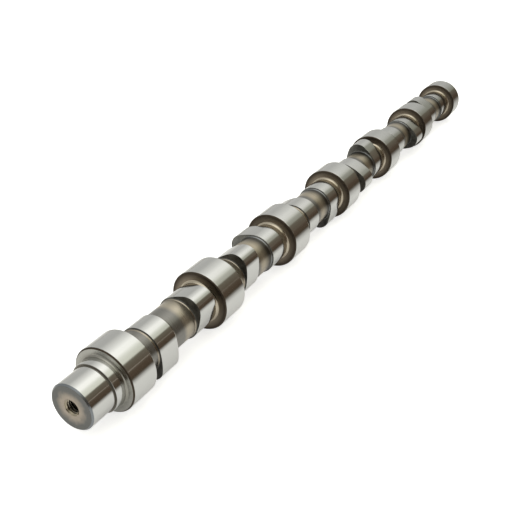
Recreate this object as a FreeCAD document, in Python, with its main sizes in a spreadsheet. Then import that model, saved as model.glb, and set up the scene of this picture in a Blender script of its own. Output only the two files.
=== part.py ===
import FreeCAD, Part
import math
import os
import Sketcher

# Camshaft of a straight six engine, in millimetres.
# X is the shaft's axis, from the end face of the nose at X 0 to the last journal, and Z is up.

DRIVING = {
    # Nose that carries the timing gear, its relief groove and the collar against the first journal
    "nose_diameter": 41.8,
    "nose_length": 24.8,
    "nose_chamfer": 1.5,
    "relief_width": 1.3,
    "relief_depth": 0.8,
    "collar_step": 1.85,
    "collar_length": 11.1,
    "collar_chamfer": 0.4,
    # Bearing journals, the two end ones narrower
    "end_journal_width": 30.3,
    "middle_journal_width": 33.9,
    "journal_pitch": 137.6,
    "journal_diameter": 60.0,
    "journal_chamfer": 1.2,
    "journal_corner": 2.2,
    # Round core between the journals
    "core_diameter": 39.0,
    # Cam lobes, two to a bay, whose base circle stands a step above the core
    "base_circle_step": 1.75,
    "lobe_lift": 8.25,
    "lobe_nose_radius": 14.0,
    "lobe_flank_radius": 68.0,
    "lobe_width": 22.9,
    "lobe_corner": 1.0,
    "first_lobe_gap": 16.8,
    "second_lobe_gap": 9.9,
    "second_lobe_angle": 42.0,
    "lobe_separation": 108.0,
    # Threaded hole in the nose
    "thread_diameter": 14.0,
    "thread_pitch": 2.0,
    "thread_lead_in": 0.5,
    "thread_mouth_angle": 90.0,
    "thread_hole_depth": 38.0,
    # Turning centre in the rear face
    "centre_mouth_diameter": 10.0,
    "centre_pilot_diameter": 4.0,
    "centre_angle": 60.0,
    "centre_depth": 9.0,
    "drill_point_angle": 118.0,
}

FIRING_ORDER = [1, 5, 3, 6, 2, 4]
CYLINDERS = len(FIRING_ORDER)
FIRING_STEP = 360 // CYLINDERS
MIDDLE_JOURNALS = CYLINDERS - 1
SAME = 1e-4

document = FreeCAD.newDocument("camshaft_model")
sheet = document.addObject("Spreadsheet::Sheet", "Spec")
for row, (alias, size) in enumerate(DRIVING.items(), start=1):
    sheet.set("A%d" % row, alias.replace("_", " "))
    sheet.set("B%d" % row, str(size))
    sheet.setAlias("B%d" % row, alias)

body = document.addObject("PartDesign::Body", "camshaft")
body.Label = "camshaft"
document.recompute()

# Sizes and stations along the axis, as expressions of the driving dimensions

COLLAR_START = "(Spec.nose_length + Spec.relief_width)"
COLLAR_DIAMETER = "(Spec.nose_diameter + 2 * Spec.collar_step)"
BASE_DIAMETER = "(Spec.core_diameter + 2 * Spec.base_circle_step)"
NOSE_CENTRE_HEIGHT = "(%s / 2 + Spec.lobe_lift - Spec.lobe_nose_radius)" % BASE_DIAMETER
FIRST_JOURNAL_START = "(%s + Spec.collar_length)" % COLLAR_START
BAYS_START = "(%s + Spec.end_journal_width)" % FIRST_JOURNAL_START
BAY_LENGTH = "(Spec.journal_pitch - Spec.middle_journal_width)"


def bay_start(bay):
    """Rear face of the journal in front of a bay, counted from 0."""
    return "(%s + %d * Spec.journal_pitch)" % (BAYS_START, bay)


def bay_end(bay):
    """Front face of the journal behind a bay."""
    return "(%s + %s)" % (bay_start(bay), BAY_LENGTH)


LAST_JOURNAL_START = bay_end(CYLINDERS - 1)
SHAFT_END = "(%s + Spec.end_journal_width)" % LAST_JOURNAL_START


def present(expression):
    """Value of an expression with the sheet's present sizes."""
    return float(body.evalExpression(expression))


def new_sketch(name, role):
    """Sketch on the plane of the body's own origin that has this role."""
    sketch = body.newObject("Sketcher::SketchObject", name)
    plane = next(item for item in body.Origin.OriginFeatures if item.Role == role)
    sketch.AttachmentSupport = (plane, "")
    sketch.MapMode = "FlatFace"
    sketch.Visibility = False
    return sketch


def bind(sketch, constraint, expression):
    """Add a dimension to a sketch and tie it to an expression."""
    index = sketch.addConstraint(constraint)
    sketch.setExpression("Constraints[%d]" % index, expression)


def stepped_section(sketch, start, steps):
    """Half section of coaxial cylinders from a start station, each step its far end and its diameter."""
    stations = [start] + [far for far, diameter in steps]
    radii = [diameter + " / 2" for far, diameter in steps]
    corners = [(start, "0")]
    for index, radius in enumerate(radii):
        corners += [(stations[index], radius), (stations[index + 1], radius)]
    corners.append((stations[-1], "0"))
    points = [FreeCAD.Vector(present(station), present(radius), 0) for station, radius in corners]
    count = len(points)
    for index in range(count):
        following = (index + 1) % count
        sketch.addGeometry(Part.LineSegment(points[index], points[following]), False)
    # Even lines are the upright faces, and odd ones the cylinders with the axis last
    for index in range(count):
        sketch.addConstraint(Sketcher.Constraint("Coincident", index, 2, (index + 1) % count, 1))
        sketch.addConstraint(Sketcher.Constraint("Horizontal" if index % 2 else "Vertical", index))
    sketch.addConstraint(Sketcher.Constraint("PointOnObject", 0, 1, -1))
    for face, station in enumerate(stations):
        if present(station) == 0:
            sketch.addConstraint(Sketcher.Constraint("PointOnObject", 2 * face, 1, -2))
        else:
            bind(sketch, Sketcher.Constraint("DistanceX", -1, 1, 2 * face, 1, present(station)), station)
    for cylinder, radius in enumerate(radii):
        bind(sketch, Sketcher.Constraint("DistanceY", -1, 1, 2 * cylinder + 1, 1, present(radius)), radius)


def turned(name, start, steps):
    """Coaxial cylinders turned about the shaft's axis."""
    sketch = new_sketch(name + "_section", "XZ_Plane")
    stepped_section(sketch, start, steps)
    feature = body.newObject("PartDesign::Revolution", name)
    feature.Profile = sketch
    feature.ReferenceAxis = (sketch, ["H_Axis"])
    feature.Angle = 360
    feature.Refine = True
    document.recompute()
    return feature


def arc(centre, radius, start, end):
    """Arc of a circle in a sketch, counterclockwise between two angles in radians."""
    return Part.ArcOfCircle(Part.Circle(centre, FreeCAD.Vector(0, 0, 1), radius), start, end)


def cam_outline(sketch):
    """Cam of a base circle, a nose and two flanks, all tangent, with its nose up in the sketch."""
    base = present(BASE_DIAMETER) / 2
    nose = present("Spec.lobe_nose_radius")
    flank = present("Spec.lobe_flank_radius")
    nose_height = present(NOSE_CENTRE_HEIGHT)
    # Each flank's centre lies across the cam from it, where both tangent circles put it
    centre_y = ((flank - base) ** 2 - (flank - nose) ** 2 + nose_height ** 2) / (2 * nose_height)
    centre_x = math.sqrt((flank - base) ** 2 - centre_y ** 2)
    foot = math.atan2(-centre_y, centre_x)
    shoulder = math.atan2(nose_height - centre_y, centre_x)
    axis_point = FreeCAD.Vector(0, 0, 0)
    nose_point = FreeCAD.Vector(0, nose_height, 0)
    left_point = FreeCAD.Vector(-centre_x, centre_y, 0)
    right_point = FreeCAD.Vector(centre_x, centre_y, 0)
    base_arc, right_flank, nose_arc, left_flank = sketch.addGeometry([
        arc(axis_point, base, math.pi - foot, 2 * math.pi + foot),
        arc(left_point, flank, foot, shoulder),
        arc(nose_point, nose, shoulder, math.pi - shoulder),
        arc(right_point, flank, math.pi - shoulder, math.pi - foot),
    ], False)
    sketch.addConstraint([
        Sketcher.Constraint("Tangent", base_arc, 2, right_flank, 1),
        Sketcher.Constraint("Tangent", right_flank, 2, nose_arc, 1),
        Sketcher.Constraint("Tangent", nose_arc, 2, left_flank, 1),
        Sketcher.Constraint("Tangent", left_flank, 2, base_arc, 1),
        Sketcher.Constraint("Coincident", base_arc, 3, -1, 1),
        Sketcher.Constraint("PointOnObject", nose_arc, 3, -2),
        Sketcher.Constraint("Equal", right_flank, left_flank),
    ])
    bind(sketch, Sketcher.Constraint("Radius", base_arc, base), BASE_DIAMETER + " / 2")
    bind(sketch, Sketcher.Constraint("Radius", nose_arc, nose), "Spec.lobe_nose_radius")
    bind(sketch, Sketcher.Constraint("Radius", right_flank, flank), "Spec.lobe_flank_radius")
    bind(sketch, Sketcher.Constraint("DistanceY", -1, 1, nose_arc, 3, nose_height), NOSE_CENTRE_HEIGHT)


def lobe(name, station, angle):
    """Cam lobe from a station rearwards, turned about the axis from nose up."""
    sketch = new_sketch(name + "_outline", "YZ_Plane")
    cam_outline(sketch)
    sketch.setExpression("AttachmentOffset.Base.z", station)
    sketch.setExpression("AttachmentOffset.Rotation.Angle", angle)
    feature = body.newObject("PartDesign::Pad", name)
    feature.Profile = sketch
    feature.setExpression("Length", "Spec.lobe_width")
    feature.Refine = True


def axial_hole(name, station, into_rear, diameter, depth, mouth_diameter, mouth_angle):
    """Drilled blind hole on the axis with a conical mouth at a station."""
    sketch = new_sketch(name + "_circle", "YZ_Plane")
    radius = present(diameter) / 2
    sketch.addGeometry(Part.Circle(FreeCAD.Vector(0, 0, 0), FreeCAD.Vector(0, 0, 1), radius), False)
    sketch.addConstraint(Sketcher.Constraint("Coincident", 0, 3, -1, 1))
    bind(sketch, Sketcher.Constraint("Diameter", 0, 2 * radius), diameter)
    sketch.setExpression("AttachmentOffset.Base.z", station)
    document.recompute()
    feature = body.newObject("PartDesign::Hole", name)
    feature.Profile = sketch
    feature.Reversed = into_rear
    feature.ThreadType = "None"
    feature.setExpression("Diameter", diameter)
    feature.DepthType = "Dimension"
    feature.setExpression("Depth", depth)
    feature.DrillPoint = "Angled"
    feature.setExpression("DrillPointAngle", "Spec.drill_point_angle")
    feature.HoleCutType = "Countersink"
    feature.setExpression("HoleCutDiameter", mouth_diameter)
    feature.setExpression("HoleCutCountersinkAngle", mouth_angle)
    feature.Refine = True
    document.recompute()


def rims(stations, diameter):
    """Names of the tip's round edges of one diameter, at some stations and centred on the axis."""
    radius = present(diameter) / 2
    places = [present(station) for station in stations]
    found = []
    for index, edge in enumerate(body.Tip.Shape.Edges, start=1):
        centred = edge.Curve.TypeId == "Part::GeomCircle" and edge.Curve.Center.cross(
            FreeCAD.Vector(1, 0, 0)).Length < SAME
        if centred and abs(edge.Curve.Radius - radius) < SAME:
            if any(abs(edge.Curve.Center.x - place) < SAME for place in places):
                found.append("Edge%d" % index)
    return found


def bevel(name, stations, diameter, size):
    """Break outer rims, or fill inner corners, by a cone at 45 degrees."""
    edges = rims(stations, diameter)
    base = body.Tip
    feature = body.newObject("PartDesign::Chamfer", name)
    feature.Base = (base, edges)
    feature.setExpression("Size", size)
    feature.Refine = True
    document.recompute()


# Turned core, with the nose, its relief groove and the collar

turned("turned_core", "0", [
    ("Spec.nose_length", "Spec.nose_diameter"),
    (COLLAR_START, "(Spec.nose_diameter - 2 * Spec.relief_depth)"),
    (FIRST_JOURNAL_START, COLLAR_DIAMETER),
    (LAST_JOURNAL_START, "Spec.core_diameter"),
])

# Journals: one at each end and an even row between

turned("first_journal", FIRST_JOURNAL_START, [(BAYS_START, "Spec.journal_diameter")])
turned("last_journal", LAST_JOURNAL_START, [(SHAFT_END, "Spec.journal_diameter")])
second_journal = turned("second_journal", bay_end(0), [(bay_start(1), "Spec.journal_diameter")])
journal_row = body.newObject("PartDesign::LinearPattern", "journal_row")
journal_row.Originals = [second_journal]
journal_row.Direction = (second_journal.Profile[0], ["H_Axis"])
journal_row.setExpression("Length", "%d * Spec.journal_pitch" % (MIDDLE_JOURNALS - 1))
journal_row.Occurrences = MIDDLE_JOURNALS
journal_row.Refine = True
body.Tip = journal_row
document.recompute()

# Lobes: each cylinder's pair is turned from the first cylinder's by its place in the firing order

lobe_starts = []
for bay in range(CYLINDERS):
    turn = FIRING_ORDER.index(bay + 1) * FIRING_STEP
    first_start = "(%s + Spec.first_lobe_gap)" % bay_start(bay)
    second_start = "(%s - Spec.second_lobe_gap - Spec.lobe_width)" % bay_end(bay)
    second_angle = "Spec.second_lobe_angle + %d" % turn
    lobe("cylinder_%d_first_lobe" % (bay + 1), first_start, second_angle + " + Spec.lobe_separation")
    lobe("cylinder_%d_second_lobe" % (bay + 1), second_start, second_angle)
    lobe_starts += [first_start, second_start]
document.recompute()

# Holes on the axis: the threaded one, cut to its core, and the rear turning centre

axial_hole("nose_thread_hole", "0", True, "(Spec.thread_diameter - Spec.thread_pitch)",
           "Spec.thread_hole_depth", "(Spec.thread_diameter + 2 * Spec.thread_lead_in)",
           "Spec.thread_mouth_angle")
axial_hole("rear_centre", SHAFT_END, False, "Spec.centre_pilot_diameter",
           "Spec.centre_depth", "Spec.centre_mouth_diameter", "Spec.centre_angle")

# Tapered corners where the journals and lobes rise from the core

journal_fronts = [bay_end(bay) for bay in range(CYLINDERS)]
journal_rears = [bay_start(bay) for bay in range(CYLINDERS)]
lobe_ends = ["(%s + Spec.lobe_width)" % start for start in lobe_starts]
bevel("journal_corners", journal_fronts + journal_rears, "Spec.core_diameter", "Spec.journal_corner")
bevel("lobe_corners", lobe_starts + lobe_ends, "Spec.core_diameter", "Spec.lobe_corner")

# Broken edges of the nose, the collar and the journals

bevel("nose_edge", ["0"], "Spec.nose_diameter", "Spec.nose_chamfer")
bevel("collar_edge", [COLLAR_START], COLLAR_DIAMETER, "Spec.collar_chamfer")
bevel("journal_edges", journal_fronts + journal_rears + [FIRST_JOURNAL_START, SHAFT_END],
      "Spec.journal_diameter", "Spec.journal_chamfer")

for item in document.Objects:
    if "Invalid" in item.State or "Error" in item.State:
        raise RuntimeError("%s did not build: %s" % (item.Label, item.State))
if body.Shape.isNull() or not body.Shape.isValid() or len(body.Shape.Solids) != 1:
    raise RuntimeError("the camshaft is not one valid solid")

os.makedirs("parts", exist_ok=True)
body.Shape.exportStep(os.path.join("parts", body.Label + ".step"))
print("camshaft: volume %.1f mm3, length %.1f mm, %d faces" % (
    body.Shape.Volume, body.Shape.BoundBox.XLength, len(body.Shape.Faces)))
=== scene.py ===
import bmesh
import bpy
import math
from mathutils import Matrix, Vector


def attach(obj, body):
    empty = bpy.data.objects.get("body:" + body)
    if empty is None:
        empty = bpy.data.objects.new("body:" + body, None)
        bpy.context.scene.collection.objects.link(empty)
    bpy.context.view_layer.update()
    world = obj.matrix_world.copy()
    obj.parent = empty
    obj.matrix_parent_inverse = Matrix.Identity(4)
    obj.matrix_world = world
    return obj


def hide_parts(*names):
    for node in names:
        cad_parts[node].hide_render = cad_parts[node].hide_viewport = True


# Camshaft of a straight six engine. Sizes are in millimetres, and the shaft lies along X, its nose at X 0.

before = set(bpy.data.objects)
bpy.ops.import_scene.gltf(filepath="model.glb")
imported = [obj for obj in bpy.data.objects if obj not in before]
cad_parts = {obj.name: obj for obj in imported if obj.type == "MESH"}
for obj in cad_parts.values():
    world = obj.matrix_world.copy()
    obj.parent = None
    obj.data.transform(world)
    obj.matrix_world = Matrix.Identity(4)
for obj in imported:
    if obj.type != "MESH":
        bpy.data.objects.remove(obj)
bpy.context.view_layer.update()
mm = 0.001
facets = 144  # faces round the shaft, on the turned parts and the lobes alike
samePlace = 0.01  # millimetres within which two places count as one
mergeWithin = 0.001 * mm
print("frame loaded")


# Small helpers for edit mode

def deselectAll():
    bpy.ops.object.select_all(action="DESELECT")


def chooseOnly(shape):
    deselectAll()
    shape.select_set(True)
    bpy.context.view_layer.objects.active = shape


# Selects the points that pass a test on their place in millimetres
def pickPoints(shape, test):
    mesh = bmesh.from_edit_mesh(shape.data)
    for point in mesh.verts:
        point.select = bool(test(point.co / mm))
    mesh.select_flush(True)
    mesh.select_flush(False)
    bmesh.update_edit_mesh(shape.data)


def pickEdges(shape, test):
    mesh = bmesh.from_edit_mesh(shape.data)
    for face in mesh.faces:
        face.select = False
    for point in mesh.verts:
        point.select = False
    for edge in mesh.edges:
        edge.select = bool(test(edge))
    bmesh.update_edit_mesh(shape.data)


def atStation(edge, x):
    return all(abs(point.co.x / mm - x) < samePlace for point in edge.verts)


# A plane merged to one point, ready to be drawn out
def startFromPoint(name, place):
    deselectAll()
    bpy.ops.mesh.primitive_plane_add(size=mm)
    shape = bpy.context.object
    shape.name = name
    bpy.ops.object.mode_set(mode="EDIT")
    bpy.ops.mesh.select_mode(type="VERT")
    bpy.ops.mesh.merge(type="CENTER")
    bpy.ops.transform.translate(value=Vector(place) * mm)
    return shape


# Draws a half section point by point, rounds its corners and spins it about the shaft's axis. Each corner is
# its station, its radius, how much is taken off it and in how many steps.
def turn(name, outline):
    shape = startFromPoint(name, (outline[0][0], 0, outline[0][1]))
    for before, after in zip(outline, outline[1:]):
        step = Vector((after[0] - before[0], 0, after[1] - before[1]))
        bpy.ops.mesh.extrude_vertices_move(TRANSFORM_OT_translate={"value": step * mm})
    for x, radius, size, steps in outline:
        if size:
            pickPoints(shape, lambda p: abs(p.x - x) < samePlace and abs(p.z - radius) < samePlace)
            bpy.ops.mesh.bevel(offset=size * mm, segments=steps, affect="VERTICES", clamp_overlap=False)
    bpy.ops.mesh.select_all(action="SELECT")
    bpy.ops.mesh.spin(steps=facets, angle=2 * math.pi, center=(0, 0, 0), axis=(1, 0, 0))
    bpy.ops.mesh.select_all(action="SELECT")
    bpy.ops.mesh.remove_doubles(threshold=mergeWithin)
    bpy.ops.object.mode_set(mode="OBJECT")
    return shape


# The sizes

nose = {
    "radius": 20.9, "length": 24.8, "chamfer": 1.5, "edgeRound": 0.25, "rearRound": 0.3,
    "grooveRadius": 20.1, "grooveWidth": 1.3, "grooveRound": 0.4,
    "collarRadius": 22.75, "collarLength": 11.1, "collarChamfer": 0.4, "collarRound": 0.15,
    "collarCorner": 2.0,
    "mouthRadius": 7.5, "mouthRound": 0.15, "boreRadius": 5.95, "boreDepth": 38.0, "drillPoint": 3.6,
}
journals = {
    "radius": 30.0, "endWidth": 30.3, "middleWidth": 33.9, "pitch": 137.6, "count": 7,
    "chamfer": 1.2, "chamferRound": 0.25, "corner": 3.0,
}
core = {"radius": 19.5}
lobes = {
    "base": 21.25, "lift": 8.25, "noseRadius": 14.0, "flank": 68.0, "width": 22.9,
    "foot": 20.8, "footAngle": 60.0, "rim": 0.25, "firstGap": 16.8, "secondGap": 9.9,
    "secondAngle": 42.0, "separation": 108.0, "firingOrder": [1, 5, 3, 6, 2, 4],
    "noseSteps": 40, "flankSteps": 12,
}
rearCentre = {
    "mouth": 5.0, "mouthRound": 0.15, "pilot": 2.0, "coneDepth": 5.2, "depth": 9.0, "drillPoint": 1.2,
}
thread = {
    "crest": 6.0, "root": 7.08, "pitch": 2.0, "crestFlat": 0.5, "rootFlat": 0.25,
    "start": -4.0, "turns": 17, "steps": 48,
}

mouthDepth = nose["mouthRadius"] - nose["boreRadius"]
grooveEnd = nose["length"] + nose["grooveWidth"]
shaftStart = grooveEnd + nose["collarLength"]
bayStart = shaftStart + journals["endWidth"]
bayLength = journals["pitch"] - journals["middleWidth"]
bays = journals["count"] - 1
shaftEnd = bayStart + bays * journals["pitch"] - journals["middleWidth"] + journals["endWidth"]
# The round corner at a lobe rises from the core to the foot of the lobe's side, at the foot angle
footRise = lobes["foot"] - core["radius"]
footLean = footRise / math.tan(math.radians(lobes["footAngle"]))
footReach = footRise / math.sin(math.radians(lobes["footAngle"]))


def lobeStations(bay):
    start = bayStart + bay * journals["pitch"]
    first = start + lobes["firstGap"]
    second = start + bayLength - lobes["secondGap"] - lobes["width"]
    return first, second


# Half section of one journal, with its faces, chamfers and the round corners at the core
def journalCorners(front, width, withFront=True, withRear=True):
    rear = front + width
    cut = journals["chamfer"]
    soft = journals["chamferRound"]
    corners = []
    if withFront:
        corners.append((front, core["radius"], journals["corner"], 8))
    corners += [
        (front, journals["radius"] - cut, soft, 2), (front + cut, journals["radius"], soft, 2),
        (rear - cut, journals["radius"], soft, 2), (rear, journals["radius"] - cut, soft, 2),
    ]
    if withRear:
        corners.append((rear, core["radius"], journals["corner"], 8))
    return corners


# Where the core ends in the round corner of a lobe's side: the way is 1 towards a lobe and -1 away from it
def lobeCorner(station, way):
    ends = [(station - way * footLean, core["radius"], footReach, 7), (station, lobes["foot"], 0, 0)]
    return ends[::way]


# Turned parts: the nose, then the stretches of core between the lobes

noseOutline = [
    (nose["boreDepth"] + nose["drillPoint"], 0.0, 0, 0),
    (nose["boreDepth"], nose["boreRadius"], 0, 0),
    (mouthDepth, nose["boreRadius"], 0, 0),
    (0.0, nose["mouthRadius"], nose["mouthRound"], 2),
    (0.0, nose["radius"] - nose["chamfer"], nose["edgeRound"], 3),
    (nose["chamfer"], nose["radius"], nose["edgeRound"], 3),
    (nose["length"], nose["radius"], nose["rearRound"], 3),
    (nose["length"], nose["grooveRadius"], nose["grooveRound"], 4),
    (grooveEnd, nose["grooveRadius"], nose["grooveRound"], 4),
    (grooveEnd, nose["collarRadius"] - nose["collarChamfer"], nose["collarRound"], 2),
    (grooveEnd + nose["collarChamfer"], nose["collarRadius"], nose["collarRound"], 2),
    (shaftStart, nose["collarRadius"], nose["collarCorner"], 6),
]
noseOutline += journalCorners(shaftStart, journals["endWidth"], withFront=False)
noseOutline += lobeCorner(lobeStations(0)[0], 1)
parts = [turn("noseAndFirstJournal", noseOutline)]

for bay in range(bays):
    first, second = lobeStations(bay)
    firstEnd = first + lobes["width"]
    secondEnd = second + lobes["width"]
    parts.append(turn("coreBetweenLobes", lobeCorner(firstEnd, -1) + lobeCorner(second, 1)))
    front = bayStart + bay * journals["pitch"] + bayLength
    if bay < bays - 1:
        following = lobeStations(bay + 1)[0]
        middle = journalCorners(front, journals["middleWidth"])
        parts.append(turn("journal", lobeCorner(secondEnd, -1) + middle + lobeCorner(following, 1)))
    else:
        rear = front + journals["endWidth"]
        end = journalCorners(front, journals["endWidth"], withRear=False)
        parts.append(turn("lastJournal", lobeCorner(secondEnd, -1) + end + [
            (rear, rearCentre["mouth"], rearCentre["mouthRound"], 2),
            (rear - rearCentre["coneDepth"], rearCentre["pilot"], 0, 0),
            (rear - rearCentre["depth"], rearCentre["pilot"], 0, 0),
            (rear - rearCentre["depth"] - rearCentre["drillPoint"], 0.0, 0, 0),
        ]))
print("turned parts:", len(parts))


# A lobe: one point spun round the centres of its four arcs, then the outline drawn out to the lobe's width.
# The foot and the shoulder are the angles at which a flank starts from the base circle and ends at the nose.
def camLobe(name):
    noseCentre = lobes["base"] + lobes["lift"] - lobes["noseRadius"]
    toBase = lobes["flank"] - lobes["base"]
    toNose = lobes["flank"] - lobes["noseRadius"]
    centreZ = (toBase ** 2 - toNose ** 2 + noseCentre ** 2) / (2 * noseCentre)
    centreY = math.sqrt(toBase ** 2 - centreZ ** 2)
    foot = math.atan2(-centreZ, centreY)
    shoulder = math.atan2(noseCentre - centreZ, centreY)
    halfNose = math.pi / 2 - shoulder
    baseSteps = facets - lobes["noseSteps"] - 2 * lobes["flankSteps"]
    arcs = [
        ((0, noseCentre), 2 * halfNose, lobes["noseSteps"]),
        ((centreY, centreZ), shoulder - foot, lobes["flankSteps"]),
        ((0, 0), math.pi + 2 * foot, baseSteps),
        ((-centreY, centreZ), shoulder - foot, lobes["flankSteps"]),
    ]
    startY = lobes["noseRadius"] * math.cos(shoulder)
    startZ = noseCentre + lobes["noseRadius"] * math.sin(shoulder)
    shape = startFromPoint(name, (0, startY, startZ))
    for (y, z), angle, steps in arcs:
        bpy.ops.mesh.spin(steps=steps, angle=-angle, center=(0, y * mm, z * mm), axis=(1, 0, 0))
    bpy.ops.mesh.select_all(action="SELECT")
    bpy.ops.mesh.remove_doubles(threshold=mergeWithin)
    bpy.ops.mesh.extrude_region_move(TRANSFORM_OT_translate={"value": (lobes["width"] * mm, 0, 0)})
    # Both ends closed for the bevel of the rims, and opened again
    bpy.ops.mesh.select_mode(type="EDGE")
    for end in (0, lobes["width"]):
        pickEdges(shape, lambda edge: atStation(edge, end))
        bpy.ops.mesh.edge_face_add()
    bpy.ops.mesh.select_all(action="SELECT")
    bpy.ops.mesh.normals_make_consistent(inside=False)
    pickEdges(shape, lambda edge: atStation(edge, 0) or atStation(edge, lobes["width"]))
    bpy.ops.mesh.bevel(offset=lobes["rim"] * mm, segments=2, affect="EDGES", clamp_overlap=False)
    bpy.ops.mesh.select_mode(type="FACE")
    bpy.ops.mesh.select_all(action="DESELECT")
    bpy.ops.mesh.select_face_by_sides(number=4, type="GREATER")
    bpy.ops.mesh.delete(type="ONLY_FACE")
    bpy.ops.object.mode_set(mode="OBJECT")
    return shape


pattern = camLobe("lobePattern")
print("faces round a lobe and its rims:", len(pattern.data.polygons))
lobeSides = []
for bay in range(bays):
    turnOfCylinder = lobes["firingOrder"].index(bay + 1) * 360 / bays
    angles = (lobes["secondAngle"] + lobes["separation"], lobes["secondAngle"])
    for station, angle in zip(lobeStations(bay), angles):
        copy = bpy.data.objects.new("lobe", pattern.data.copy())
        bpy.context.collection.objects.link(copy)
        turned = Matrix.Rotation(math.radians(angle + turnOfCylinder), 4, "X")
        copy.data.transform(Matrix.Translation((station * mm, 0, 0)) @ turned)
        parts.append(copy)
        lobeSides += [station, station + lobes["width"]]
bpy.data.objects.remove(pattern)

# All joined, and each lobe's sides filled between its rim and the round corner of the core

deselectAll()
for part in parts:
    part.select_set(True)
bpy.context.view_layer.objects.active = parts[0]
bpy.ops.object.join()
camshaft = bpy.context.object
camshaft.name = "camshaftSteel"
bpy.ops.object.mode_set(mode="EDIT")
bpy.ops.mesh.select_mode(type="EDGE")
for side in lobeSides:
    pickEdges(camshaft, lambda edge: edge.is_boundary and atStation(edge, side))
    bpy.ops.mesh.fill()
bpy.ops.mesh.select_all(action="SELECT")
bpy.ops.mesh.normals_make_consistent(inside=False)
bpy.ops.object.mode_set(mode="OBJECT")
print("lobe sides filled:", len(lobeSides))


# Thread in the nose: a plug with the screw's form is cut out of the bore
def threadPlug():
    flank = (thread["pitch"] - thread["crestFlat"] - thread["rootFlat"]) / 2
    shape = startFromPoint("threadPlug", (thread["start"], 0, thread["crest"]))
    rise = thread["root"] - thread["crest"]
    for across, up in ((thread["crestFlat"], 0), (flank, rise), (thread["rootFlat"], 0), (flank, -rise)):
        bpy.ops.mesh.extrude_vertices_move(TRANSFORM_OT_translate={"value": (across * mm, 0, up * mm)})
    bpy.ops.object.mode_set(mode="OBJECT")
    bpy.ops.object.modifier_add(type="SCREW")
    screw = shape.modifiers[-1]
    screw.axis = "X"
    screw.screw_offset = thread["pitch"] * mm
    screw.iterations = thread["turns"]
    screw.steps = thread["steps"]
    screw.render_steps = thread["steps"]
    bpy.ops.object.modifier_apply(modifier=screw.name)
    bpy.ops.object.mode_set(mode="EDIT")
    bpy.ops.mesh.select_all(action="SELECT")
    bpy.ops.mesh.remove_doubles(threshold=mergeWithin)  # each turn joined to the next
    middle = thread["start"] + thread["pitch"] * thread["turns"] / 2
    for below in (True, False):
        bpy.ops.mesh.select_mode(type="EDGE")
        pickEdges(shape, lambda edge: edge.is_boundary and (edge.verts[0].co.x / mm < middle) == below)
        bpy.ops.mesh.extrude_region_move()
        bpy.ops.mesh.merge(type="CENTER")
    bpy.ops.mesh.select_all(action="SELECT")
    bpy.ops.mesh.remove_doubles(threshold=mergeWithin)
    bpy.ops.mesh.normals_make_consistent(inside=False)
    bpy.ops.object.mode_set(mode="OBJECT")
    return shape


plug = threadPlug()
chooseOnly(camshaft)
bpy.ops.object.modifier_add(type="BOOLEAN")
cutThread = camshaft.modifiers[-1]
cutThread.operation = "DIFFERENCE"
cutThread.solver = "EXACT"
cutThread.object = plug
bpy.ops.object.modifier_apply(modifier=cutThread.name)
bpy.data.objects.remove(plug)
print("thread cut")


# Materials

# An sRGB hex colour as the linear colour a shader takes
def paint(code):
    channels = [int(code[i:i + 2], 16) / 255 for i in (1, 3, 5)]
    return [c / 12.92 if c <= 0.04045 else ((c + 0.055) / 1.055) ** 2.4 for c in channels] + [1.0]


# Adds a shader node. A link comes from a socket, or from a node's first one.
def addNode(tree, kind, settings=None, links=None):
    node = tree.nodes.new("ShaderNode" + kind)
    for name, value in (settings or {}).items():
        if isinstance(name, int) or name in node.inputs:
            node.inputs[name].default_value = value
        else:
            setattr(node, name, value)
    for name, source in (links or {}).items():
        socket = source if isinstance(source, bpy.types.NodeSocket) else source.outputs[0]
        tree.links.new(socket, node.inputs[name])
    return node


# The sockets of a Mix node that mixes colours: its share, the two colours and the result
mixShare, mixLow, mixHigh, mixResult = 0, 6, 7, 2


def setRamp(node, stops):
    ramp = node.color_ramp
    while len(ramp.elements) < len(stops):
        ramp.elements.new(0.5)
    for element, (at, colour) in zip(ramp.elements, stops):
        element.position = at
        element.color = colour


def emptyTree(holder):
    holder.use_nodes = True
    holder.node_tree.nodes.clear()
    return holder.node_tree


def newMaterial(name):
    material = bpy.data.materials.new(name)
    tree = emptyTree(material)
    shader = addNode(tree, "BsdfPrincipled", {"Metallic": 1.0})
    addNode(tree, "OutputMaterial", None, {0: shader})
    return material, tree, shader


# Object coordinates in millimetres, and how far the place is from the shaft's axis
def place(tree):
    coordinates = addNode(tree, "TexCoord").outputs["Object"]
    scaled = addNode(tree, "VectorMath", {"operation": "SCALE", "Scale": 1 / mm}, {0: coordinates})
    across = addNode(tree, "VectorMath", {"operation": "MULTIPLY", 1: (0, 1, 1)}, {0: scaled})
    radius = addNode(tree, "VectorMath", {"operation": "LENGTH"}, {0: across}).outputs["Value"]
    return scaled, radius


# Noise drawn out round the shaft: rings as far apart as the grit, whose strength wanders along each ring
def roundLines(tree, look, coordinates, radius):
    split = addNode(tree, "SeparateXYZ", None, {0: coordinates})
    along = addNode(tree, "Math", {"operation": "ADD"}, {0: split, 1: radius})
    squeeze = {"operation": "SCALE", "Scale": look["grit"] / look["wander"]}
    squeezed = addNode(tree, "VectorMath", squeeze, {0: coordinates})
    around = addNode(tree, "SeparateXYZ", None, {0: squeezed})
    vector = addNode(tree, "CombineXYZ", None, {0: along, 1: around.outputs[1], 2: around.outputs[2]})
    rings = {"Scale": 1 / look["grit"], "Detail": 3.0, "Roughness": 0.6}
    return addNode(tree, "TexNoise", rings, {"Vector": vector}).outputs[0]


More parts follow.
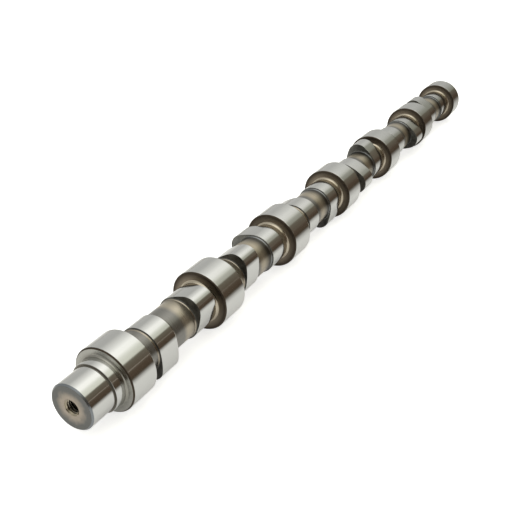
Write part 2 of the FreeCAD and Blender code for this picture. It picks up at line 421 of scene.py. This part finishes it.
# Roughness runs between two values. Grit is how far apart the tool's rings lie, wander how far along a ring
# its strength changes, and depth that of the bump, in millimetres. Grinding marks lie about 0.02 to 0.05 mm
# apart and turning marks 0.1 to 0.2 mm. That is too fine to show in the render, so they are drawn coarser.
finish = {
    # Ground and honed steel: bright, with sharp bands of light that its fine rings blur a little
    "ground": {"colour": "#C8C8C6", "roughness": (0.08, 0.15), "grit": 0.35, "wander": 14.0, "depth": 0.0015},
    # Turned steel tinted by the heat that hardened the lobes: bands of straw and grey with a soft shine, and
    # painted shade where the core darkens just before each second lobe
    "core": {
        "roughness": (0.22, 0.38), "grit": 0.6, "wander": 20.0, "depth": 0.002, "metallic": 0.8,
        # Colours by millimetres from the front of a bay, in the first bay and in the others. The fall from 56
        # to the dark stops at 65.5 and 68 in the later bays, and the milder fall up to 68 in the first bay,
        # is painted shade beside the lobe's side.
        "firstBay": (
            (53, "#84827E"), (58, "#B3AA9A"), (61, "#B3AA9A"), (68, "#958D7F"), (75, "#A99F8D"),
        ),
        "laterBays": (
            (16, "#A99F8D"), (20, "#767470"), (46, "#767470"), (51, "#A99F8D"), (56, "#A99F8D"),
            (65.5, "#45423C"), (68, "#45423C"), (75, "#A99F8D"),
        ),
    },
    # Polished corner at a journal: smooth, so that it catches a pale line of light
    "fillet": {"colour": "#BBB1A0", "roughness": (0.2, 0.28), "grit": 0.6, "wander": 12.0, "depth": 0.001},
    # Ground corner at a lobe: a thinner and darker line
    "lobeCorner": {
        "colour": "#A0978A", "roughness": (0.16, 0.24), "grit": 0.5, "wander": 12.0, "depth": 0.001,
    },
    # Turned face under thin oxide: brown and dull, darker towards its rim
    "journalSide": {
        "inner": "#978C7D", "outer": "#4A4239", "from": 22.0, "to": 28.0,
        "roughness": (0.4, 0.55), "grit": 0.5, "wander": 20.0, "depth": 0.003,
    },
    # Ground thrust face: pale, with painted shade darkening it towards the collar
    "frontSide": {
        "inner": "#96948D", "outer": "#ACABA5", "from": 23.5, "to": 27.0,
        "roughness": (0.2, 0.32), "grit": 0.5, "wander": 20.0, "depth": 0.002,
    },
    # Forging scale left on a lobe's side: nearly black and mottled, with painted light making it lighter
    # towards the +Y side of the shaft, where the room's light falls.
    # Scale has a grain of about 0.3 mm, too fine to show, so it is drawn at 0.9 mm. Its patches are 8.3 mm.
    "lobeSide": {
        "dark": "#34332F", "light": "#84837E", "roughness": (0.4, 0.6), "depth": 0.01, "metallic": 0.7,
        "grain": 0.9, "patch": 25 / 3, "patchNoise": (0.3, 0.7), "patchShare": 0.5,
        "paintedLitSide": (2.0, 22.0), "paintedLitShare": 0.6,
    },
    # Faced steel: dull, tan in the middle and grey in an uneven ring
    "noseFace": {
        "ring": "#6D6D6B", "tan": "#A89D90", "ringBand": (12.0, 18.0), "cloud": 4.0, "uneven": 5.0,
        "roughness": (0.34, 0.46), "grit": 0.4, "wander": 16.0, "depth": 0.002,
    },
    # Turned groove that no wheel reached: matt grey
    "groove": {"colour": "#8F8B84", "roughness": (0.5, 0.65), "grit": 0.4, "wander": 12.0, "depth": 0.01},
    # Corner that kept some of the scale: blue grey
    "scaleCorner": {
        "colour": "#86888A", "roughness": (0.25, 0.34), "grit": 0.5, "wander": 12.0, "depth": 0.001,
    },
    # Turned chamfer: blue grey, with a faint shine
    "noseRim": {"colour": "#83878B", "roughness": (0.22, 0.3), "grit": 0.5, "wander": 12.0, "depth": 0.001},
    # Fresh countersink: a tan ring that shines
    "mouth": {"colour": "#A39987", "roughness": (0.15, 0.22), "grit": 0.5, "wander": 12.0, "depth": 0.0003},
    # Cut thread: painted light makes its first turns bright, and painted shade makes the bore dark below them
    "bore": {
        "mouth": "#E2D8C6", "bottom": "#4A443B", "bright": 2.5, "dark": 7.0,
        "roughness": (0.22, 0.32), "grit": 0.8, "wander": 12.0, "depth": 0.002,
    },
}


# Roughness between a look's two values by one noise, and a bump of its depth by another
def finishShader(tree, shader, look, roughnessNoise, height):
    low, high = look["roughness"]
    rough = addNode(tree, "MapRange", {"To Min": low, "To Max": high}, {"Value": roughnessNoise})
    tree.links.new(rough.outputs[0], shader.inputs["Roughness"])
    bump = addNode(tree, "Bump", {"Strength": 1.0, "Distance": look["depth"] * mm}, {"Height": height})
    tree.links.new(bump.outputs[0], shader.inputs["Normal"])


# Two written colours mixed by a share, as the colour of a shader
def colourShader(tree, shader, share, low, high):
    colours = {"data_type": "RGBA", mixLow: paint(low), mixHigh: paint(high)}
    mix = addNode(tree, "Mix", colours, {mixShare: share})
    tree.links.new(mix.outputs[mixResult], shader.inputs["Base Color"])


def plainTurned(name, look):
    material, tree, shader = newMaterial(name)
    lines = roundLines(tree, look, *place(tree))
    shader.inputs["Base Color"].default_value = paint(look["colour"])
    finishShader(tree, shader, look, lines, lines)
    return material


def tintedCoreWithPaintedShade():
    look = finish["core"]
    material, tree, shader = newMaterial("inductionTintedSteelWithPaintedShade")
    coordinates, radius = place(tree)
    lines = roundLines(tree, look, coordinates, radius)
    split = addNode(tree, "SeparateXYZ", None, {0: coordinates})
    offset = addNode(tree, "Math", {"operation": "SUBTRACT", 1: bayStart}, {0: split})
    inBay = addNode(tree, "Math", {"operation": "FLOORED_MODULO", 1: journals["pitch"]}, {0: offset})
    bayShare = addNode(tree, "Math", {"operation": "DIVIDE", 1: journals["pitch"]}, {0: inBay})
    # The ramps darken the core before each second lobe: painted shade beside the lobe, on top of the heat
    # tint
    bands = []
    for stops in (look["firstBay"], look["laterBays"]):
        band = addNode(tree, "ValToRGB", None, {0: bayShare})
        setRamp(band, [(at / journals["pitch"], paint(code)) for at, code in stops])
        bands.append(band)
    later = addNode(tree, "Math", {"operation": "GREATER_THAN", 1: bayLength}, {0: offset})
    mix = addNode(tree, "Mix", {"data_type": "RGBA"}, {mixShare: later, mixLow: bands[0], mixHigh: bands[1]})
    tree.links.new(mix.outputs[mixResult], shader.inputs["Base Color"])
    shader.inputs["Metallic"].default_value = look["metallic"]
    finishShader(tree, shader, look, lines, lines)
    return material


def turnedSide(name, look):
    material, tree, shader = newMaterial(name)
    coordinates, radius = place(tree)
    lines = roundLines(tree, look, coordinates, radius)
    # On the thrust face this ramp is painted shade towards the collar; on the journals' sides it is their
    # oxide darkening towards the rim
    toRim = addNode(tree, "MapRange", {"From Min": look["from"], "From Max": look["to"]}, {"Value": radius})
    colourShader(tree, shader, toRim, look["inner"], look["outer"])
    finishShader(tree, shader, look, lines, lines)
    return material


def scaleAndPaintedLightLobeSide():
    look = finish["lobeSide"]
    material, tree, shader = newMaterial("forgedScaleSteelWithPaintedLight")
    coordinates = place(tree)[0]
    grains = {"Scale": 1 / look["grain"], "Detail": 4.0, "Roughness": 0.6}
    grain = addNode(tree, "TexNoise", grains, {"Vector": coordinates})
    patches = addNode(tree, "TexNoise", {"Scale": 1 / look["patch"], "Detail": 3.0}, {"Vector": coordinates})
    low, high = look["patchNoise"]
    spreading = {"From Min": low, "From Max": high, "To Max": look["patchShare"]}
    spread = addNode(tree, "MapRange", spreading, {"Value": patches})
    # Painted light: the side lightens towards +Y, the side of the shaft that faces the room's light
    split = addNode(tree, "SeparateXYZ", None, {0: coordinates})
    start, end = look["paintedLitSide"]
    paintedLightRange = {"From Min": start, "From Max": end, "To Max": look["paintedLitShare"]}
    paintedLitSide = addNode(tree, "MapRange", paintedLightRange, {"Value": split.outputs[1]})
    both = addNode(tree, "Math", {"operation": "ADD"}, {0: spread, 1: paintedLitSide})
    colourShader(tree, shader, both, look["dark"], look["light"])
    shader.inputs["Metallic"].default_value = look["metallic"]
    finishShader(tree, shader, look, patches, grain)
    return material


def noseFaceSteel():
    look = finish["noseFace"]
    material, tree, shader = newMaterial("facedNoseSteel")
    coordinates, radius = place(tree)
    lines = roundLines(tree, look, coordinates, radius)
    cloud = addNode(tree, "TexNoise", {"Scale": 1 / look["cloud"], "Detail": 2.0}, {"Vector": coordinates})
    edge = addNode(tree, "Math", {"operation": "MULTIPLY_ADD", 1: look["uneven"]}, {0: cloud, 2: radius})
    start, end = look["ringBand"]
    toRing = addNode(tree, "MapRange", {"From Min": start, "From Max": end}, {"Value": edge})
    colourShader(tree, shader, toRing, look["tan"], look["ring"])
    finishShader(tree, shader, look, cloud, lines)
    return material


def tappedSteel():
    look = finish["bore"]
    material, tree, shader = newMaterial("tappedBorePaintedShadeSteel")
    coordinates, radius = place(tree)
    lines = roundLines(tree, look, coordinates, radius)
    depth = addNode(tree, "SeparateXYZ", None, {0: coordinates})
    # Painted highlight near the mouth and painted shade deeper in the bore, by depth along the shaft
    paintedShadeDown = addNode(tree, "MapRange", {"From Min": look["bright"], "From Max": look["dark"]}, {"Value": depth})
    colourShader(tree, shader, paintedShadeDown, look["mouth"], look["bottom"])
    finishShader(tree, shader, look, lines, lines)
    return material


slots = {
    "ground": plainTurned("groundCamSteel", finish["ground"]),
    "core": tintedCoreWithPaintedShade(),
    "journalSide": turnedSide("turnedOxidisedSteel", finish["journalSide"]),
    "lobeSide": scaleAndPaintedLightLobeSide(),
    "noseFace": noseFaceSteel(),
    "frontSide": turnedSide("groundShoulderSteel", finish["frontSide"]),
    "fillet": plainTurned("polishedCornerSteel", finish["fillet"]),
    "scaleCorner": plainTurned("blueGreyCornerSteel", finish["scaleCorner"]),
    "lobeCorner": plainTurned("groundCornerSteel", finish["lobeCorner"]),
    "noseRim": plainTurned("chamferedRimSteel", finish["noseRim"]),
    "mouth": plainTurned("countersunkMouthSteel", finish["mouth"]),
    "groove": plainTurned("turnedGrooveSteel", finish["groove"]),
    "bore": tappedSteel(),
}
camshaft.data.materials.clear()
for material in slots.values():
    camshaft.data.materials.append(material)
slotNumbers = {name: number for number, name in enumerate(slots)}
print("steel finishes:", len(slots))

# Where one finish gives way to the next: distances in millimetres from a size, and how far a face has to turn
# along the shaft to count as a side
zones = {
    "slack": 0.02, "edge": 0.05, "rim": 0.1, "skin": 0.4, "coreSkin": 0.04, "boreEnd": 5.0, "noseRear": 0.25,
    "mouthTurn": 0.3, "cornerTurn": 0.55, "sideTurn": 0.9,
}
scaledSides = lobeSides[6::4]  # the front of each second lobe, from the second bay on


def onLobe(x):
    ranges = zip(lobeSides[::2], lobeSides[1::2])
    return any(low - zones["slack"] < x < high + zones["slack"] for low, high in ranges)


def besideLobe(x, sides):
    return any(abs(side - x) < footLean + footReach for side in sides)


# Which finish a face wears, from its place and the way it faces
def zoneOf(centre, normal):
    x, radius = centre.x, math.hypot(centre.y, centre.z)
    journalRim = journals["radius"] - journals["chamfer"] - zones["rim"]
    inBore = samePlace < x < nose["boreDepth"] + zones["boreEnd"]
    if inBore and radius < nose["mouthRadius"] - zones["edge"]:
        return "mouth" if x < mouthDepth and normal.x < -zones["mouthTurn"] else "bore"
    if x < nose["chamfer"]:
        return "noseRim" if radius > nose["radius"] - nose["chamfer"] else "noseFace"
    if x < nose["length"] - zones["noseRear"]:
        return "ground"
    if x < grooveEnd + zones["slack"]:
        return "groove"
    if x < shaftStart and radius < nose["collarRadius"] + zones["slack"]:
        return "ground"
    if x < shaftStart + zones["edge"] and radius > nose["collarRadius"] - zones["slack"]:
        return "frontSide"
    if onLobe(x):
        return "ground" if abs(normal.x) < zones["sideTurn"] else "lobeSide"
    if x < shaftStart + journals["chamfer"] and radius > journalRim:
        return "journalSide"
    if radius > journals["radius"] - zones["skin"]:
        return "ground"
    if x < bayStart and radius > journalRim:
        return "core"
    if radius > core["radius"] + journals["corner"] - zones["skin"] or x > shaftEnd - zones["rim"]:
        return "journalSide"
    if radius < core["radius"] + zones["coreSkin"]:
        return "core"
    if not besideLobe(x, lobeSides):
        return "fillet"
    if abs(normal.x) > zones["cornerTurn"]:
        return "lobeSide"
    return "scaleCorner" if besideLobe(x, scaledSides) else "lobeCorner"


for face in camshaft.data.polygons:
    face.material_index = slotNumbers[zoneOf(face.center / mm, face.normal)]

# Smooth faces with crisp edges, and normals that follow the large faces

crispAngle = 32
chooseOnly(camshaft)
bpy.ops.object.shade_smooth_by_angle(angle=math.radians(crispAngle))
bpy.ops.object.modifier_add(type="WEIGHTED_NORMAL")
weighted = camshaft.modifiers[-1]
weighted.keep_sharp = True
bpy.ops.object.modifier_apply(modifier=weighted.name)
print("camshaft triangles:", sum(len(face.vertices) - 2 for face in camshaft.data.polygons))

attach(camshaft, "root")
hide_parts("camshaft")

# Table of white paper that the shaft lies on. Its own sizes are in metres. For glossy rays only, the paper is
# mixed to a dark colour away from the shaft, most of all past the rear end: painted shade standing in for the
# light's falloff across a table under a narrow light.

table = {
    "size": 12, "middle": 0.4, "gap": 0.00005, "paper": "#EDEDED", "dark": "#55493C",
    "glow": 0.28, "eyeGlow": 0.38,
    # The way across the shaft towards the eye, how far the fall reaches and how dark it gets along it
    "across": (0.13, -1.0, 0.0), "fadeFrom": -0.039, "fadeTo": 0.561,
    "fade": (
        (0.15, 0), (0.208, 0.13), (0.25, 0.32), (0.308, 0.43), (0.358, 0.6), (0.417, 0.74), (0.483, 0.84),
        (0.6, 0.88), (0.717, 0.96), (1.0, 1.0),
    ),
    "behind": {"From Max": 0.35, "To Min": 0.05, "To Max": 0.4},
    "beyond": {"From Min": 0.5, "From Max": 1.4, "To Max": 0.3},
}


def whitePaperWithPaintedFalloff():
    material = bpy.data.materials.new("whitePaperWithPaintedFalloff")
    tree = emptyTree(material)
    rays = addNode(tree, "LightPath").outputs
    eye = rays["Is Camera Ray"]
    steel = rays["Is Glossy Ray"]
    either = addNode(tree, "Math", {"operation": "MAXIMUM"}, {0: eye, 1: steel})
    shown = addNode(tree, "Math", {"operation": "MAXIMUM"}, {0: either, 1: rays["Is Transmission Ray"]})
    base = addNode(tree, "Math", {"operation": "MULTIPLY", 1: table["glow"]}, {0: shown})
    strength = addNode(tree, "Math", {"operation": "MULTIPLY_ADD", 1: table["eyeGlow"]}, {0: eye, 2: base})
    diffuse = addNode(tree, "BsdfDiffuse", {"Color": paint(table["paper"])})
    glow = addNode(tree, "Emission", {"Color": paint("#FFFFFF")}, {"Strength": strength})
    lit = addNode(tree, "AddShader", None, {0: diffuse, 1: glow})
    # Painted shade seen only by the steel: the paper turns dark away from the shaft, behind it and past its
    # rear end
    where = addNode(tree, "TexCoord").outputs["Object"]
    away = addNode(tree, "VectorMath", {"operation": "DOT_PRODUCT", 1: table["across"]}, {0: where})
    reach = {"From Min": table["fadeFrom"], "From Max": table["fadeTo"]}
    scaled = addNode(tree, "MapRange", reach, {"Value": away.outputs["Value"]})
    paintedFalloff = addNode(tree, "ValToRGB", None, {0: scaled})
    setRamp(paintedFalloff, [(at, (grey, grey, grey, 1)) for at, grey in table["fade"]])
    split = addNode(tree, "SeparateXYZ", None, {0: where})
    behind = addNode(tree, "MapRange", table["behind"], {"Value": split.outputs[1]})
    beyond = addNode(tree, "MapRange", table["beyond"], {"Value": split.outputs[0]})
    farSide = addNode(tree, "Math", {"operation": "ADD"}, {0: behind, 1: beyond})
    paintedShadeShare = addNode(tree, "Math", {"operation": "MAXIMUM"}, {0: paintedFalloff, 1: farSide})
    share = addNode(tree, "Math", {"operation": "MULTIPLY"}, {0: paintedShadeShare, 1: steel})
    dark = addNode(tree, "BsdfDiffuse", {"Color": paint(table["dark"])})
    paper = addNode(tree, "MixShader", None, {0: share, 1: lit, 2: dark})
    addNode(tree, "OutputMaterial", None, {0: paper})
    return material


deselectAll()
underShaft = (table["middle"], 0, -journals["radius"] * mm - table["gap"])
bpy.ops.mesh.primitive_plane_add(size=table["size"], location=underShaft)
floor = bpy.context.object
floor.name = "paperFloor"
floor.data.materials.append(whitePaperWithPaintedFalloff())
print("floor laid")

# Studio: the world's light runs in bands along the shaft, as long softboxes beside and over it would give.
# Places on the ramps go round the shaft: 0.25 is level behind it, 0.5 overhead and 0.75 level before it.

studio = {
    "room": (
        (0.2, "#D4D4D0"), (0.33, "#D2D2CE"), (0.44, "#DADAD5"), (0.522, "#CBCBC4"), (0.578, "#B2B2A6"),
        (0.619, "#9F9E90"), (0.628, "#7C7566"), (0.69, "#6B6052"), (0.72, "#5E5042"), (0.8, "#5A4C3E"),
    ),
    "softbox": (
        (0.36, "#000000"), (0.44, "#B3B3AF"), (0.486, "#F8F8F4"), (0.528, "#FDFDF8"), (0.561, "#D6D8CE"),
        (0.585, "#D2D4CA"), (0.615, "#D6D8CC"), (0.622, "#000000"),
        (0.6885, "#000000"), (0.691, "#C8C0B4"), (0.6935, "#000000"),
    ),
    # By how squarely a ray crosses the shaft's line, from 0 along it to 1 across it
    "near": {"From Min": 0.41, "From Max": 0.81},
    "farRoom": {"From Min": 0.38, "From Max": 0.55, "To Min": 0.86},
    # Towards its far edge the softbox falls off sooner along the shaft
    "fall": {"From Min": 0.56, "From Max": 0.585, "To Min": 1.0, "To Max": 3.0},
}


def studioLight():
    world = bpy.data.worlds.new("studio")
    tree = emptyTree(world)
    direction = addNode(tree, "TexCoord").outputs["Generated"]
    split = addNode(tree, "SeparateXYZ", None, {0: direction})
    flipped = addNode(tree, "Math", {"operation": "MULTIPLY", 1: -1.0}, {0: split.outputs[1]})
    bearing = addNode(tree, "Math", {"operation": "ARCTAN2"}, {0: flipped, 1: split.outputs[2]})
    share = addNode(tree, "Math", {"operation": "MULTIPLY_ADD", 1: 0.5 / math.pi, 2: 0.5}, {0: bearing})
    across = addNode(tree, "VectorMath", {"operation": "MULTIPLY", 1: (0, 1, 1)}, {0: direction})
    aside = addNode(tree, "VectorMath", {"operation": "LENGTH"}, {0: across}).outputs["Value"]
    near = addNode(tree, "MapRange", studio["near"], {"Value": aside})
    room = addNode(tree, "ValToRGB", None, {0: share})
    setRamp(room, [(at, paint(code)) for at, code in studio["room"]])
    softbox = addNode(tree, "ValToRGB", None, {0: share})
    setRamp(softbox, [(at, paint(code)) for at, code in studio["softbox"]])
    fall = addNode(tree, "MapRange", studio["fall"], {"Value": share})
    reach = addNode(tree, "Math", {"operation": "POWER"}, {0: near, 1: fall})
    farRoom = addNode(tree, "MapRange", studio["farRoom"], {"Value": aside})
    dimRoom = addNode(tree, "VectorMath", {"operation": "SCALE"}, {0: room, "Scale": farRoom})
    lit = addNode(tree, "VectorMath", {"operation": "MULTIPLY_ADD"}, {0: softbox, 1: reach, 2: dimRoom})
    # The eye sees white paper behind the shaft, and the steel sees the softbox and the world's dark band
    # before it
    rays = addNode(tree, "LightPath").outputs
    straight = {0: rays["Is Camera Ray"], 1: rays["Is Transmission Ray"]}
    white = addNode(tree, "Math", {"operation": "MAXIMUM"}, straight)
    colours = {"data_type": "RGBA", mixHigh: paint("#FFFFFF")}
    seen = addNode(tree, "Mix", colours, {mixShare: white, mixLow: lit}).outputs[mixResult]
    background = addNode(tree, "Background", {"Strength": 1.0}, {"Color": seen})
    addNode(tree, "OutputWorld", None, {0: background})
    return world


bpy.context.scene.world = studioLight()
print("studio lit")

# Camera: its place in millimetres, the ways it calls right and back, and its lens

view = {
    "place": (-303.7, -334.7, 370.0), "right": (0.5009, -0.8655, 0.0), "back": (-0.7568, -0.4380, 0.4851),
    "focal": 52.4, "sensor": 36, "near": 0.01, "far": 50,
}
right = Vector(view["right"]).normalized()
back = Vector(view["back"]).normalized()
aim = Matrix((right, back.cross(right), back)).transposed().to_4x4()
camera = bpy.data.objects.new("camera", bpy.data.cameras.new("camera"))
bpy.context.collection.objects.link(camera)
camera.matrix_world = Matrix.Translation(Vector(view["place"]) * mm) @ aim
camera.data.sensor_width = view["sensor"]
camera.data.lens = view["focal"]
camera.data.clip_start = view["near"]
camera.data.clip_end = view["far"]
bpy.context.scene.camera = camera
bpy.context.scene.view_settings.view_transform = "Standard"
print("camera set")
